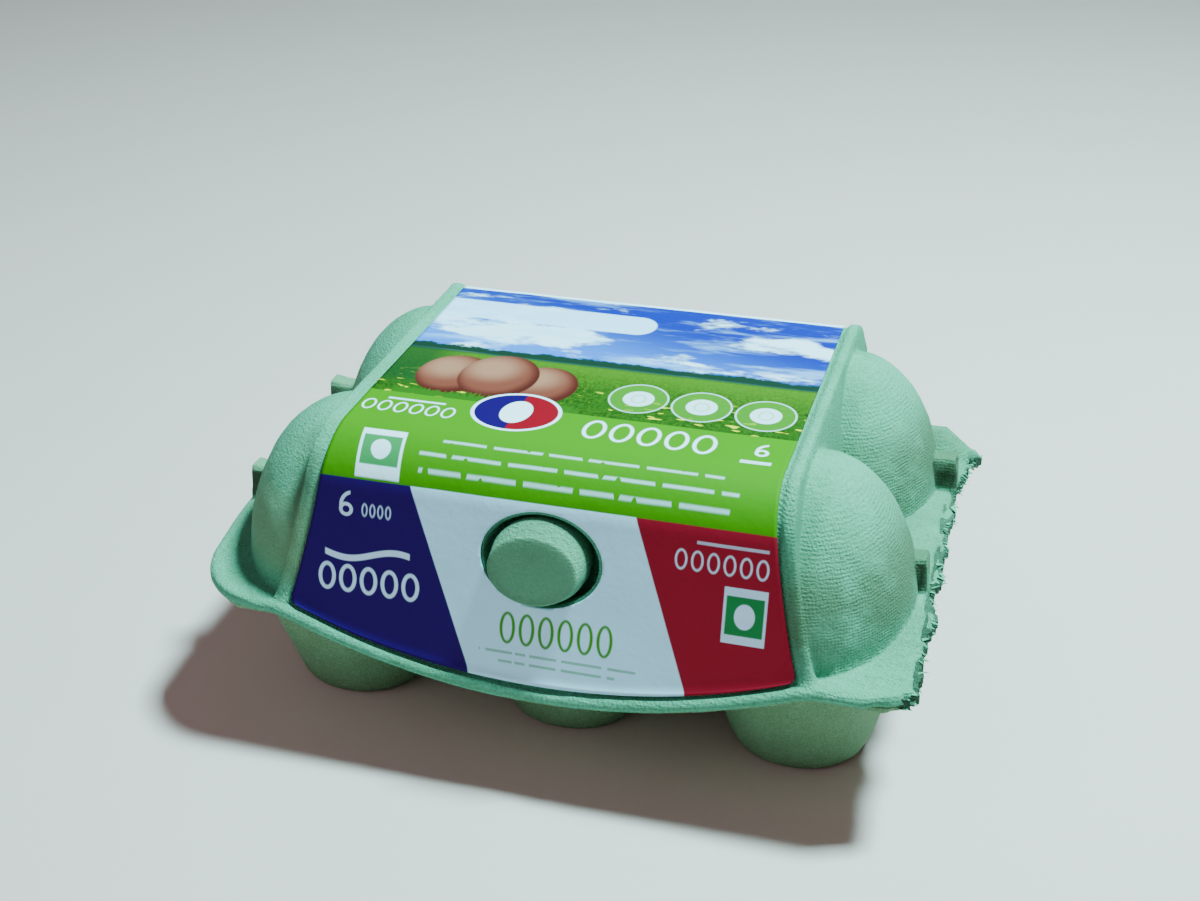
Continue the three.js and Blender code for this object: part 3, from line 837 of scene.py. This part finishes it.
class Paint:
    """One node material, with the place on the piece in millimetres as x, y and z."""

    def __init__(self, name):
        self.material = bpy.data.materials.new(name)
        self.material.use_nodes = True
        self.tree = self.material.node_tree
        self.shader = self.tree.nodes["Principled BSDF"]
        place = self.node("ShaderNodeTexCoord").outputs["Object"]
        scale = self.node("ShaderNodeVectorMath", operation="SCALE")
        self.tree.links.new(place, scale.inputs[0])
        scale.inputs["Scale"].default_value = 1 / MM
        move = self.node("ShaderNodeVectorMath", operation="ADD")
        self.tree.links.new(scale.outputs[0], move.inputs[0])
        move.inputs[1].default_value = (CENTRE_X, 0, 0)
        self.place = move.outputs[0]
        split = self.node("ShaderNodeSeparateXYZ")
        self.tree.links.new(self.place, split.inputs[0])
        self.x, self.y, self.z = (Field(self, s) for s in split.outputs)

    def node(self, kind, **settings):
        node = self.tree.nodes.new(kind)
        for key, value in settings.items():
            setattr(node, key, value)
        return node

    def put(self, slot, value):
        """Links a field or a socket to the slot, or sets a constant on it."""
        if isinstance(value, Field):
            self.tree.links.new(value.socket, slot)
        elif isinstance(value, bpy.types.NodeSocket):
            self.tree.links.new(value, slot)
        else:
            slot.default_value = value

    def noise(self, size, detail=2.0, rough=0.5, stretch=(1, 1, 1), shift=0.0):
        """Noise from about 0 to 1, with lumps about this size in millimetres."""
        mapping = self.node("ShaderNodeMapping")
        self.put(mapping.inputs["Vector"], self.place)
        mapping.inputs["Scale"].default_value = [1 / (size * s) for s in stretch]
        mapping.inputs["Location"].default_value = (shift, shift * 0.7, shift * 1.3)
        node = self.node("ShaderNodeTexNoise")
        self.put(node.inputs["Vector"], mapping.outputs[0])
        node.inputs["Scale"].default_value = 1
        node.inputs["Detail"].default_value = detail
        node.inputs["Roughness"].default_value = rough
        return Field(self, node.outputs["Fac"])

    def oval(self, u, v, half_u, half_v, soft=0.12):
        """1 inside an oval about the fields' zero and 0 outside it."""
        reach = ((u / half_u) ** 2 + (v / half_v) ** 2) ** 0.5
        return reach.below(1, soft / min(half_u, half_v))

    def ring(self, u, v, half_u, half_v, width, soft=0.12):
        """1 on a band of this width inside an oval's edge."""
        inner = self.oval(u, v, half_u - width, half_v - width, soft)
        return self.oval(u, v, half_u, half_v, soft) * inner.flipped()

    def box(self, u, v, half_u, half_v, soft=0.12):
        return u.size().below(half_u, soft) * v.size().below(half_v, soft)

    def six(self, u, v, height):
        """The numeral 6 as a ring with a bent stem."""
        h = height
        bowl = self.ring(u, v + h * 0.22, h * 0.29, h * 0.28, h * 0.14, 0.1)
        stem = self.ring(u - h * 0.27, v + h * 0.06, h * 0.56, h * 0.6, h * 0.14, 0.1)
        part = u.below(h * 0.16, 0.1) * v.above(-h * 0.16, 0.1)
        return bowl.highest(stem * part)

    def mix(self, share, first, second):
        node = self.node("ShaderNodeMix", data_type="RGBA")
        self.put(node.inputs[0], share)
        self.put(node.inputs[6], first)
        self.put(node.inputs[7], second)
        return node.outputs[2]

    def bump(self, height, distance, strength=1.0):
        node = self.node("ShaderNodeBump")
        self.put(node.inputs["Height"], height)
        node.inputs["Distance"].default_value = distance * MM
        node.inputs["Strength"].default_value = strength
        self.tree.links.new(node.outputs[0], self.shader.inputs["Normal"])


def tone(red, green, blue):
    """A linear colour from an everyday 0 to 255 one."""
    def linear(v):
        v = v / 255
        return v / 12.92 if v <= 0.04045 else ((v + 0.055) / 1.055) ** 2.4
    return (linear(red), linear(green), linear(blue), 1.0)


# Main, light and dark colour of each pulp
MINT = (0.07, 0.33, 0.19, 1)
LID_TONES = (MINT, (0.11, 0.47, 0.31, 1), (0.05, 0.19, 0.10, 1))
TRAY_TONES = ((0.13, 0.27, 0.135, 1), (0.19, 0.38, 0.215, 1), (0.09, 0.17, 0.085, 1))
NUB_TONES = ((0.095, 0.33, 0.19, 1), (0.13, 0.45, 0.28, 1), (0.075, 0.21, 0.11, 1))
# the torn tones are painted shade, for the dark bands in the split and the gap
TORN_SHADE_TONES = ((0.018, 0.05, 0.025, 1), (0.07, 0.22, 0.13, 1), (0.006, 0.018, 0.008, 1))
TIP_TONES = (MINT, (0.16, 0.58, 0.4, 1), (0.07, 0.26, 0.14, 1))

# Pulp: pitch of the wires of the mesh it was formed on, the colour of its fibre tips, and the colours
# of its painted shade and painted bounce light
WIRE_PITCH = 0.62
WEFT_PITCH = 0.8
FIBRE_TIP = tone(200, 232, 214)
NUB_FACE_SHADE = (0.09, 0.205, 0.115, 1)
LEFT_SHADE = (0.08, 0.17, 0.095, 1)
LEFT_DOME_BOUNCE = (0.15, 0.31, 0.165, 1)
RIGHT_DOME_SHADE = (0.075, 0.14, 0.068, 1)
RIB_FACE_SHADE = (0.028, 0.055, 0.026, 1)


def painted_lid_shading(paint, colour):
    """Painted shade and painted bounce light on the lid, which depend on the place."""
    x, y, z = paint.x, paint.y, paint.z
    across = x.size()
    # painted shade: the valleys and the left side of the raised panel are darker
    valley_shade = (across - 48.5).size().below(2.2, 1.6) * z.between(37, 60, 3)
    colour = paint.mix(valley_shade * 0.4, colour, LID_TONES[2])
    side = x.below(-44.5, 1.2) * x.above(-51, 3) * z.between(34.5, 60, 2)
    colour = paint.mix(side * y.below(-28, 5) * 0.6, colour, LEFT_SHADE)
    # painted light low on the egg domes: a warm painted bounce light on the left ones and darker
    # painted shade on the right ones
    low = z.between(36, 51, 5) * paint.noise(9, 3, 0.6, shift=53).above(0.38, 0.16)
    dome_bounce_and_shade = paint.mix(x.above(0), LEFT_DOME_BOUNCE, RIGHT_DOME_SHADE)
    colour = paint.mix(low * across.above(46, 3) * 0.75, colour, dome_bounce_and_shade)
    # painted shade on the open faces of the ribs, which are dark and brownish
    for front in RIB_FRONTS:
        face = (y - front - 0.1).size().below(0.75, 0.25) * across.above(61, 2)
        face = face * z.between(36.2, 41.9, 0.35)
        colour = paint.mix(face * 0.85, colour, RIB_FACE_SHADE)
    return colour


def shade_nub_face(paint, colour):
    """The nub's face is painted darker than the bevel round it, as painted shade."""
    proud = paint.y * -math.sin(FRONT_STEEPNESS) + paint.z * math.cos(FRONT_STEEPNESS)
    return paint.mix(proud.above(NUB_FACE, 0.12) * 0.6, colour, NUB_FACE_SHADE)


def pulp(name, main, light, dark, grain=1.0, painted_shading=None):
    """Moulded pulp: mottled fibre felt with the print of the wire mesh it was formed on.

    The grain is the strength of that print, and painted_shading is a function that paints shade and
    bounce light into the colour.
    """
    paint = Paint(name)
    mottle = paint.noise(16, 3, 0.6)
    speck = paint.noise(0.5, 3, 0.7, shift=7)
    fibre = paint.noise(0.8, 4, 0.7, (3.0, 0.6, 0.6), 13)
    wander = paint.noise(3.0, 2) * 9
    wires = (paint.z * (2 * math.pi / WIRE_PITCH) + wander).math("SINE")
    weft = ((paint.x + paint.y * 0.8) * (2 * math.pi / WEFT_PITCH) + wander).math("SINE")
    # the print comes and goes in patches, and is fainter on the left half
    patches = paint.noise(6, 3, 0.6, shift=29).above(0.45, 0.12) * 0.75 + 0.25
    mesh = (wires * 0.62 + weft * 0.38) * patches * (paint.x.above(0, 40) * 0.75 + 0.25)
    colour = paint.mix(mottle.above(0.52, 0.2) * 0.5, main, light)
    colour = paint.mix(mesh.below(-0.2, 0.5) * 0.16 * grain, colour, dark)
    colour = paint.mix(speck.above(0.58, 0.1) * 0.5, colour, light)
    colour = paint.mix(speck.below(0.41, 0.08) * 0.5, colour, dark)
    colour = paint.mix(fibre.above(0.66, 0.06) * 0.25, colour, FIBRE_TIP)
    # painted shade and painted bounce light laid over the pulp's own colour
    if painted_shading:
        colour = painted_shading(paint, colour)
    paint.put(paint.shader.inputs["Base Color"], colour)
    paint.shader.inputs["Roughness"].default_value = 0.93
    paint.shader.inputs["Specular IOR Level"].default_value = 0.25
    paint.bump(mesh * 0.42 * grain + speck * 2.8 + fibre * 1.5, 0.16)
    return paint.material


# Inks of the label, as linear colours
BACK_INK = (0.0, 0.018, 0.27, 1)
PALE_SKY = (0.022, 0.17, 0.62, 1)
STREAK = (0.30, 0.62, 0.95, 1)
CLOUD_FIELD = (0.46, 0.74, 1.0, 1)
WHITE_INK = (0.60, 0.86, 1.0, 1)
FRONT_WHITE = (0.55, 0.76, 1.0, 1)
LIME = (0.037, 0.215, 0.001, 1)
PURPLE = (0.016, 0.0, 0.105, 1)
PALE = (0.47, 0.80, 1.0, 1)
RED = (0.27, 0.006, 0.022, 1)
LEAF_GREEN = (0.05, 0.26, 0.01, 1)
GRASS_DARK = (0.005, 0.03, 0.002, 1)
GRASS_LIGHT = (0.045, 0.14, 0.007, 1)
GRASS_CLUMP = (0.02, 0.10, 0.006, 1)
GRASS_FAR = (0.065, 0.185, 0.008, 1)
GRASS_NEAR = (0.012, 0.07, 0.004, 1)
GRASS_LEFT = (0.008, 0.05, 0.012, 1)
GRASS_BLADE = (0.02, 0.11, 0.006, 1)
FLOWER = (0.62, 0.62, 0.01, 1)
TREES = (0.006, 0.03, 0.016, 1)
EGG_SHADE = (0.07, 0.010, 0.007, 1)
EGG_BODY = (0.18, 0.042, 0.026, 1)
EGG_SHINE = (0.40, 0.17, 0.105, 1)
BADGE = (0.05, 0.24, 0.015, 1)
BADGE_RING = (0.12, 0.42, 0.10, 1)
EMBLEM_LEFT = (0.012, 0.0, 0.085, 1)
EMBLEM_RIGHT = (0.24, 0.002, 0.010, 1)
EMBLEM_EGG = (0.62, 0.88, 1.0, 1)
TOP_MARK = (0.02, 0.24, 0.07, 1)
FRONT_MARK = (0.015, 0.19, 0.05, 1)
MARK_FRAME = (0.50, 0.72, 0.92, 1)

# Places on the label: skyline, start of the lime band, white back edge and start of the front
SKYLINE_Y = 2.2
LIME_Y = -19.2
WHITE_EDGE_Y = 33.6
FRONT_Z = 56.8

# Eggs in the grass (place, half size), badges, and thin lines (y, left x, right x)
EGGS = (((-29.5, -8.6), (7.6, 8.6)), ((-10.6, -9.2), (7.4, 8.4)), ((-20.2, -7.4), (8.2, 9.6)))
BADGES = ((9.8, -9.8), (22.6, -10.2), (35.4, -10.7))
THIN_LINES = ((-35.1, -21.4, 32.8), (-38.0, -25.2, 36.2), (-40.5, -24.6, 35))


def paint_sky(paint):
    """Blue sky with soft clouds and a pale rounded field at the back left."""
    x, y = paint.x, paint.y
    deep = (y + x * 0.25).above(14, 14)
    colour = paint.mix(deep, PALE_SKY, BACK_INK)
    puffs = paint.noise(7, 4, 0.6, (2.4, 1, 1), 5)
    streaks = paint.noise(5, 4, 0.6, (5.0, 0.9, 1), 17)
    low_bank = (y - 13.5 + x * 0.03).size().below(4.5, 3.5) * x.below(-4, 10)
    right_bank = paint.oval(x - 35, y - 20.5, 15, 4.2, 2.2)
    cloud = (puffs + low_bank * 0.16 + right_bank * 0.2).above(0.62, 0.07)
    colour = paint.mix(cloud * 0.9, colour, WHITE_INK)
    colour = paint.mix(streaks.above(0.6, 0.1) * 0.5, colour, STREAK)
    field = (y - 23.4).size().below(4.5, 0.25) * x.below(0.5)
    field = field.highest(paint.oval(x - 0.5, y - 23.4, 4.2, 4.5, 0.25))
    return paint.mix(field * 0.88, colour, CLOUD_FIELD)


def paint_meadow(paint, colour):
    """A dark line of trees, then grass that is pale far off and full of yellow flecks near by."""
    x, y = paint.x, paint.y
    grass = paint.noise(0.9, 4, 0.75, (0.8, 1.1, 1), 9)
    clumps = paint.noise(5, 3, 0.6, (1.6, 0.8, 1), 41)
    trees = paint.noise(3.4, 4, 0.7, (1.5, 1, 1), 23)
    flowers = paint.noise(1.9, 1, 0.5, (1.7, 0.7, 1), 31)
    meadow = paint.mix(grass.above(0.52, 0.14), GRASS_DARK, GRASS_LIGHT)
    meadow = paint.mix(clumps.above(0.5, 0.12) * 0.55, meadow, GRASS_CLUMP)
    meadow = paint.mix(y.above(-4, 7) * 0.7, meadow, GRASS_FAR)
    meadow = paint.mix(y.below(-11, 6) * 0.45, meadow, GRASS_NEAR)
    meadow = paint.mix(flowers.above(0.66, 0.03) * y.below(-9, 4), meadow, FLOWER)
    meadow = paint.mix(x.below(-33, 5) * y.above(-14, 3) * 0.8, meadow, GRASS_LEFT)
    colour = paint.mix(y.below(SKYLINE_Y, 0.6), colour, meadow)
    top = (y + trees * -4.0).below(SKYLINE_Y + 0.4, 0.5)
    return paint.mix(top * y.above(SKYLINE_Y - 0.6, 0.9), colour, TREES)


def paint_eggs(paint, colour):
    """Three brown eggs behind blades of grass."""
    x, y = paint.x, paint.y
    for place, size in EGGS:
        u, v = x - place[0], y - place[1]
        body = paint.oval(u, v, *size, 0.2)
        shine = paint.oval(u + size[0] * 0.28, v - size[1] * 0.34, size[0] * 0.62, size[1] * 0.5, 3.0)
        lit = paint.oval(u + 0.7, v - 0.9, size[0] - 0.9, size[1] - 1.2, 1.4)
        egg = paint.mix(lit, EGG_SHADE, EGG_BODY)
        egg = paint.mix(shine * 0.8, egg, EGG_SHINE)
        colour = paint.mix(body, colour, egg)
    blades = (y + paint.noise(1.1, 3, 0.7, (0.6, 2.2, 1), 57) * 7).below(-13.2, 0.5)
    blades = blades * y.above(-19.5, 1) * (x + 20).size().below(19, 1)
    return paint.mix(blades, colour, GRASS_BLADE)


def paint_top_print(paint, colour):
    """Print over the meadow and the lime band: badges, an emblem, eggs, lines and a mark."""
    x, y = paint.x, paint.y
    for place in BADGES:
        u, v = x - place[0], y - place[1]
        colour = paint.mix(paint.oval(u, v, 6.0, 6.3) * 0.75, colour, BADGE)
        colour = paint.mix(paint.ring(u, v, 6.0, 6.3, 0.35) * 0.6, colour, WHITE_INK)
        colour = paint.mix(paint.oval(u, v, 3.1, 3.3) * 0.85, colour, WHITE_INK)
        colour = paint.mix(paint.ring(u, v, 1.6, 2.0, 0.5) * 0.5, colour, BADGE_RING)
    # emblem with a white edge and a white egg on a purple and a red half
    u, v = x + 11.6, y + 21.4
    fields = paint.mix(u.above(0), EMBLEM_LEFT, EMBLEM_RIGHT)
    fields = paint.mix(paint.oval(u, v, 3.1, 4.6), fields, EMBLEM_EGG)
    emblem = paint.mix(paint.oval(u, v, 8.3, 7.2), WHITE_INK, fields)
    colour = paint.mix(paint.oval(u, v, 9.0, 7.9), colour, emblem)
    # rows of egg outlines, bars and a small numeral
    row = paint.ring((x - 2.4).within(5.4), y + 24.6 + (x - 16) * 0.02, 2.25, 3.7, 0.75)
    white = row * x.between(2.4, 29.4)
    small = paint.ring((x + 42.4).within(3.3), y + 25.2, 1.35, 2.1, 0.4)
    white = white.highest(small * x.between(-42.4, -22.6))
    white = white.highest(paint.box(x + 32, y + 21.9, 6, 0.35) * 0.8)
    white = white.highest(paint.six(x - 37.6, y + 24.4, 4.6))
    white = white.highest(paint.box(x - 37.2, y + 29.2, 2.9, 0.55) * 0.8)
    # thin lines, broken like words
    gaps = ((x * 1.7).math("SINE") + (x * 0.63 + y * 0.9).math("SINE") * 0.8).above(-1.05, 0.06)
    for place, left, right in THIN_LINES:
        line = y.between(place - 0.28, place + 0.28, 0.2) * x.between(left, right)
        white = white.highest(line * gaps * 0.55)
    colour = paint.mix(white, colour, WHITE_INK)
    # small mark: white frame, green field and a white leaf
    u, v = x + 33.0 + (y + 38) * 0.1, y + 38.1
    mark = paint.mix(paint.box(u, v, 3.9, 2.55), WHITE_INK, TOP_MARK)
    mark = paint.mix(paint.oval(u, v, 2.0, 1.7), mark, WHITE_INK)
    return paint.mix(paint.box(u, v, 4.5, 3.95), colour, mark)


def paint_front(paint, down):
    """Purple, pale and red field of the front wall, with plain motifs on each."""
    x = paint.x
    first = x - down * 0.387 + 25.7
    second = x - down * 0.36 - 18.2
    panel = paint.mix(first.above(0), PURPLE, PALE)
    panel = paint.mix(second.above(0), panel, RED)
    # purple field: a numeral, small egg outlines, and a swash over a row of larger ones
    white = paint.six(x + 38.5, (down - 5.0) * -1, 4.9)
    small = paint.ring((x + 35.5).within(1.6), down - 5.8, 0.6, 1.3, 0.26)
    white = white.highest(small * x.between(-35.5, -29.1))
    bend = ((x + 33) * 0.3).math("SINE") * 1.1
    white = white.highest((down - 14.6 + bend).size().below(0.62) * x.between(-42.6, -25.2))
    eggs = paint.ring((x + 44.2).within(4.3), down - 19.8, 1.8, 2.8, 0.75)
    white = white.highest(eggs * x.between(-44.2, -22.7))
    # red field: a thin bar and rings, and a framed mark
    white = white.highest(paint.box(x - 36.4, down - 2.9, 6.6, 0.3) * 0.6)
    rings = paint.ring((x - 25.6).within(3.0), down - 6.4, 1.15, 1.95, 0.38)
    white = white.highest(rings * x.between(25.6, 43.6) * 0.9)
    panel = paint.mix(white, panel, FRONT_WHITE)
    u, v = x - 39.5, down - 15.6
    mark = paint.mix(paint.box(u, v, 3.5, 3.7), MARK_FRAME, FRONT_MARK)
    mark = paint.mix(paint.oval(u, v, 1.9, 2.4), mark, FRONT_WHITE)
    panel = paint.mix(paint.box(u, v, 4.0, 5.3), panel, mark)
    # pale field: green leaves and broken lines
    leaves = paint.ring((x + 7.0).within(3.8), down - 24.6 + x * 0.01, 1.55, 3.2, 0.62)
    green = leaves * x.between(-7.0, 15.8)
    gaps = ((x * 2.1).math("SINE") + (x * 0.77).math("SINE") * 0.8).above(-1.1, 0.06)
    green = green.highest(paint.box(x - 4.8, down - 29.6, 15.4, 0.26) * gaps * 0.6)
    green = green.highest(paint.box(x - 4.8, down - 31.4, 11.4, 0.26) * gaps * 0.6)
    return paint.mix(green, panel, LEAF_GREEN)


def printed_paper(name):
    """Paper with its print, laid over the top and, by the length down it, over the front wall."""
    paint = Paint(name)
    down = (paint.z * -1 + FRONT_Z) / math.sin(FRONT_STEEPNESS)
    colour = paint_sky(paint)
    colour = paint_meadow(paint, colour)
    colour = paint_eggs(paint, colour)
    colour = paint.mix(paint.y.below(LIME_Y, 0.12), colour, LIME)
    colour = paint_top_print(paint, colour)
    colour = paint.mix(down.above(0, 0.12), colour, paint_front(paint, down))
    colour = paint.mix(paint.y.above(WHITE_EDGE_Y), colour, WHITE_INK)
    paint.put(paint.shader.inputs["Base Color"], colour)
    paint.shader.inputs["Roughness"].default_value = 0.6
    paint.shader.inputs["Specular IOR Level"].default_value = 0.08
    paint.bump(paint.noise(1.2, 3) + paint.noise(7, 2) * 2, 0.05)
    return paint.material


def dress(piece, node, material):
    """Gives the piece its material and its body and, but for trim, hides the solid of its node."""
    piece.data.materials.clear()
    piece.data.materials.append(material)
    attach(piece, "root")
    if node:
        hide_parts(node)


dress(make_lid(), "lid", pulp("pulp_lid", *LID_TONES, painted_shading=painted_lid_shading))
dress(make_tray(), "tray", pulp("pulp_tray", *TRAY_TONES))
dress(make_nub(), "lock_nub", pulp("pulp_nub", *NUB_TONES, 0.35, shade_nub_face))
# dark bands of painted shade in the split and in the gap along the torn end
torn_shade_pulp = pulp("torn_shade_pulp", *TORN_SHADE_TONES, 0.3)
for layer in make_torn_shade_bands():
    dress(layer, None, torn_shade_pulp)
dress(make_fibres(), None, pulp("fibre_pulp", *TIP_TONES, 0))
dress(make_label(), "label", printed_paper("printed_paper"))


# Floor, light and camera, in metres

FLOOR_HALF = 3.0
FLOOR_TONES = ((0.68, 0.52, 0.49, 1), (0.71, 0.545, 0.515, 1))
LIT_PLACE = (0, 0, 0.03)
WORLD_COLOUR = (1.0, 0.86, 0.88, 1)
WORLD_STRENGTH = 0.17

# Camera fitted to the photo: place, angles in degrees, and lens in millimetres
CAMERA_PLACE = (0.08736, -0.29154, 0.21183)
AZIMUTH = 16.911
ELEVATION = 28.617
ROLL = -0.8995
LENS = 50.02


def make_floor():
    mesh = bpy.data.meshes.new("floor")
    corners = [(FLOOR_HALF * x, FLOOR_HALF * y, 0) for x, y in ((-1, -1), (1, -1), (1, 1), (-1, 1))]
    mesh.from_pydata(corners, [], [(0, 1, 2, 3)])
    floor = bpy.data.objects.new("floor", mesh)
    bpy.context.collection.objects.link(floor)
    paint = Paint("pale_floor")
    colour = paint.mix(paint.noise(40, 3), *FLOOR_TONES)
    paint.put(paint.shader.inputs["Base Color"], colour)
    paint.shader.inputs["Roughness"].default_value = 0.9
    mesh.materials.append(paint.material)


def make_light(name, place, size, power, colour):
    data = bpy.data.lights.new(name, "AREA")
    data.size = size
    data.energy = power
    data.color = colour
    light = bpy.data.objects.new(name, data)
    light.location = place
    way = Vector(LIT_PLACE) - Vector(place)
    light.rotation_euler = way.to_track_quat("-Z", "Y").to_euler()
    bpy.context.collection.objects.link(light)


def make_camera():
    azimuth, elevation, roll = (math.radians(angle) for angle in (AZIMUTH, ELEVATION, ROLL))
    back = Vector((
        math.sin(azimuth) * math.cos(elevation),
        -math.cos(azimuth) * math.cos(elevation),
        math.sin(elevation),
    ))
    across = Vector((0, 0, 1)).cross(back).normalized()
    up = back.cross(across)
    right = across * math.cos(roll) + up * math.sin(roll)
    above = up * math.cos(roll) - across * math.sin(roll)
    data = bpy.data.cameras.new("camera")
    data.sensor_width = 36
    data.lens = LENS
    data.clip_start = 0.01
    camera = bpy.data.objects.new("camera", data)
    x, y, z = CAMERA_PLACE
    camera.matrix_world = Matrix((
        (right.x, above.x, back.x, x - CENTRE_X * MM),
        (right.y, above.y, back.y, y),
        (right.z, above.z, back.z, z),
        (0, 0, 0, 1),
    ))
    bpy.context.collection.objects.link(camera)
    bpy.context.scene.camera = camera


make_floor()
make_light("key", (0.215, 0.10, 0.65), 0.11, 17.6, (0.53, 0.97, 1.0))
make_light("fill", (-0.6, -0.7, 0.6), 0.9, 2.1, (1.0, 0.87, 0.98))
world = bpy.data.worlds.new("studio")
world.use_nodes = True
background = world.node_tree.nodes["Background"]
background.inputs["Color"].default_value = WORLD_COLOUR
background.inputs["Strength"].default_value = WORLD_STRENGTH
bpy.context.scene.world = world
make_camera()
